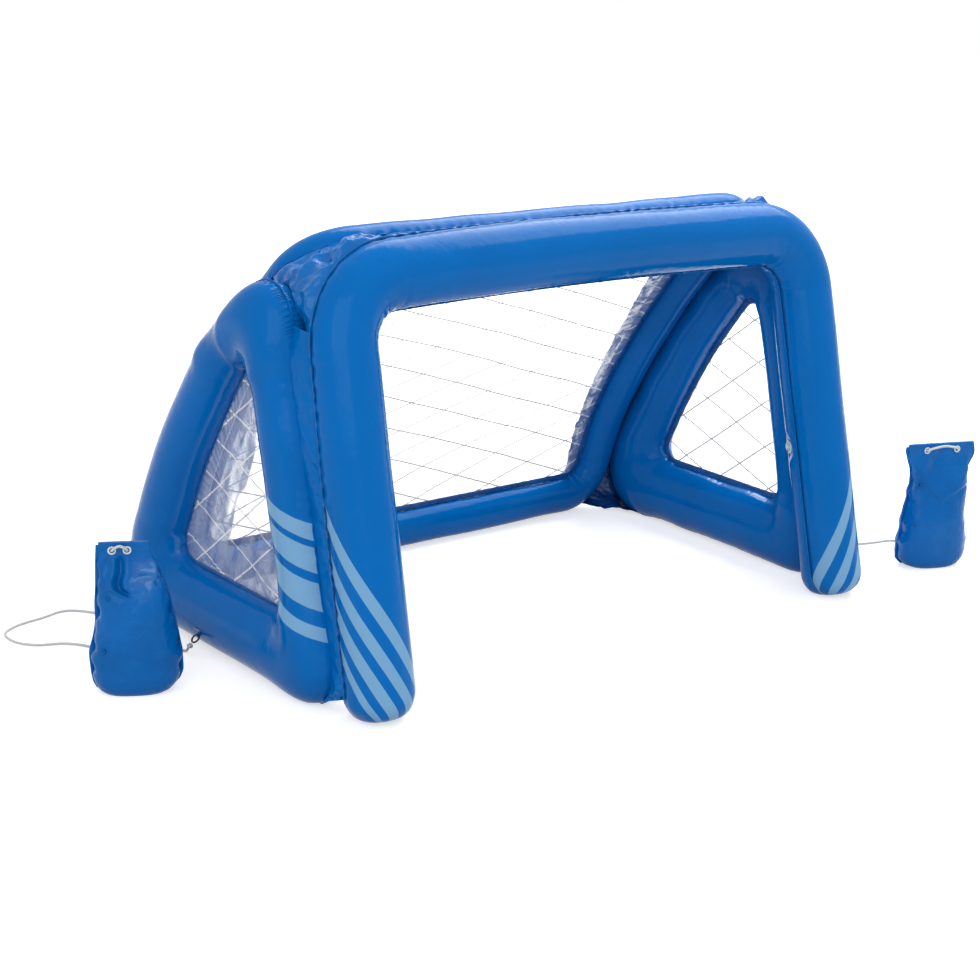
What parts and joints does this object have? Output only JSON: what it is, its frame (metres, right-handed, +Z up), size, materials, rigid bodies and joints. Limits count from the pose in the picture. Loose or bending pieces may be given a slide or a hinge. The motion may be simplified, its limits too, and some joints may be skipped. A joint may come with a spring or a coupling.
{
  "type": "inflatable water polo goal",
  "caption": "Inflatable pool goal: leaning round-tube arch, side and back air chambers with clear net-print windows, push-in valves and tethered water bags.",
  "frame": {"origin": "on the floor under the middle of the bounding box of the goal with its two bags, cords left out", "axes": "+X along the crossbar, to the right for a player who faces the mouth; the mouth faces -Y; +Z up"},
  "size_m": [1.9576, 0.8366, 0.8131],
  "materials": {
    "blue_vinyl": "glossy blue vinyl film of the air chambers",
    "dark_vinyl": "flat blue vinyl of the welded webs, rims and gussets",
    "clear_film": "clear vinyl film printed with a white net",
    "bag_vinyl": "glossy blue vinyl, lightly creased",
    "valve_vinyl": "soft clear moulded vinyl",
    "black_plastic": "moulded black plastic",
    "white_plastic": "moulded white plastic",
    "white_cord": "braided white cord"
  },
  "bodies": {
    "goal": {"arch_valve_flange": "valve_vinyl", "back_frame": "blue_vinyl", "back_valve_flange": "valve_vinyl", "back_window": "clear_film", "back_window_rim": "dark_vinyl", "front_arch": "blue_vinyl", "left_corner_web": "dark_vinyl", "left_eye_ring": "black_plastic", "left_eye_tab": "blue_vinyl", "left_floor_gusset": "dark_vinyl", "left_front_gusset": "dark_vinyl", "left_front_web": "dark_vinyl", "left_rear_web": "dark_vinyl", "left_shoulder_gusset": "dark_vinyl", "left_side_frame": "blue_vinyl", "left_valve_flange": "valve_vinyl", "left_window": "clear_film", "left_window_rim": "dark_vinyl", "right_corner_web": "dark_vinyl", "right_eye_ring": "black_plastic", "right_eye_tab": "blue_vinyl", "right_floor_gusset": "dark_vinyl", "right_front_gusset": "dark_vinyl", "right_front_web": "dark_vinyl", "right_rear_web": "dark_vinyl", "right_shoulder_gusset": "dark_vinyl", "right_side_frame": "blue_vinyl", "right_valve_flange": "valve_vinyl", "right_window": "clear_film", "right_window_rim": "dark_vinyl", "top_web": "dark_vinyl"},
    "arch_valve_plug": {"arch_valve_plug": "valve_vinyl"},
    "arch_valve_stem": {"arch_valve_stem": "valve_vinyl"},
    "back_valve_plug": {"back_valve_plug": "valve_vinyl"},
    "back_valve_stem": {"back_valve_stem": "valve_vinyl"},
    "left_anchor": {"left_bag": "bag_vinyl", "left_bight": "white_cord", "left_cord": "white_cord", "left_eyelet_inner": "white_plastic", "left_eyelet_outer": "white_plastic", "left_knot": "white_cord"},
    "left_valve_plug": {"left_valve_plug": "valve_vinyl"},
    "left_valve_stem": {"left_valve_stem": "valve_vinyl"},
    "right_anchor": {"right_bag": "bag_vinyl", "right_bight": "white_cord", "right_cord": "white_cord", "right_eyelet_inner": "white_plastic", "right_eyelet_outer": "white_plastic", "right_knot": "white_cord"},
    "right_valve_plug": {"right_valve_plug": "valve_vinyl"},
    "right_valve_stem": {"right_valve_stem": "valve_vinyl"}
  },
  "joints": [
    {"name": "arch_valve_stem_slide", "type": "slide", "parent": "goal", "child": "arch_valve_stem", "axis": [-0.8627, 0.4866, -0.1375], "range_m": [0, 0.006]},
    {"name": "arch_valve_plug_hinge", "type": "hinge", "parent": "arch_valve_stem", "child": "arch_valve_plug", "pos_m": [0.51104, -0.24922, 0.31072], "axis": [0.4913, 0.871, 0], "range_deg": [0, 140]},
    {"name": "back_valve_stem_slide", "type": "slide", "parent": "goal", "child": "back_valve_stem", "axis": [0, 0.9832, 0.1823], "range_m": [0, 0.006]},
    {"name": "back_valve_plug_hinge", "type": "hinge", "parent": "back_valve_stem", "child": "back_valve_plug", "pos_m": [0.2913, 0.41605, 0.04224], "axis": [0, 0.1823, -0.9832], "range_deg": [0, 140]},
    {"name": "left_valve_stem_slide", "type": "slide", "parent": "goal", "child": "left_valve_stem", "axis": [-0.9877, -0.0115, 0.1562], "range_m": [0, 0.006]},
    {"name": "left_valve_plug_hinge", "type": "hinge", "parent": "left_valve_stem", "child": "left_valve_plug", "pos_m": [-0.7165, 0.22228, 0.08518], "axis": [0.1562, 0, 0.9877], "range_deg": [0, 140]},
    {"name": "right_valve_stem_slide", "type": "slide", "parent": "goal", "child": "right_valve_stem", "axis": [0.9877, -0.0115, 0.1562], "range_m": [0, 0.006]},
    {"name": "right_valve_plug_hinge", "type": "hinge", "parent": "right_valve_stem", "child": "right_valve_plug", "pos_m": [0.6771, 0.22228, 0.08518], "axis": [0.1562, 0, -0.9877], "range_deg": [0, 140]},
    {"name": "left_tether_swing", "type": "hinge", "parent": "goal", "child": "left_anchor", "pos_m": [-0.73314, 0.06828, 0.0202], "axis": [0, 0, 1], "range_deg": [-16, 18]},
    {"name": "right_tether_swing", "type": "hinge", "parent": "goal", "child": "right_anchor", "pos_m": [0.69374, 0.06828, 0.0202], "axis": [0, 0, 1], "range_deg": [-12, 30]}
  ]
}
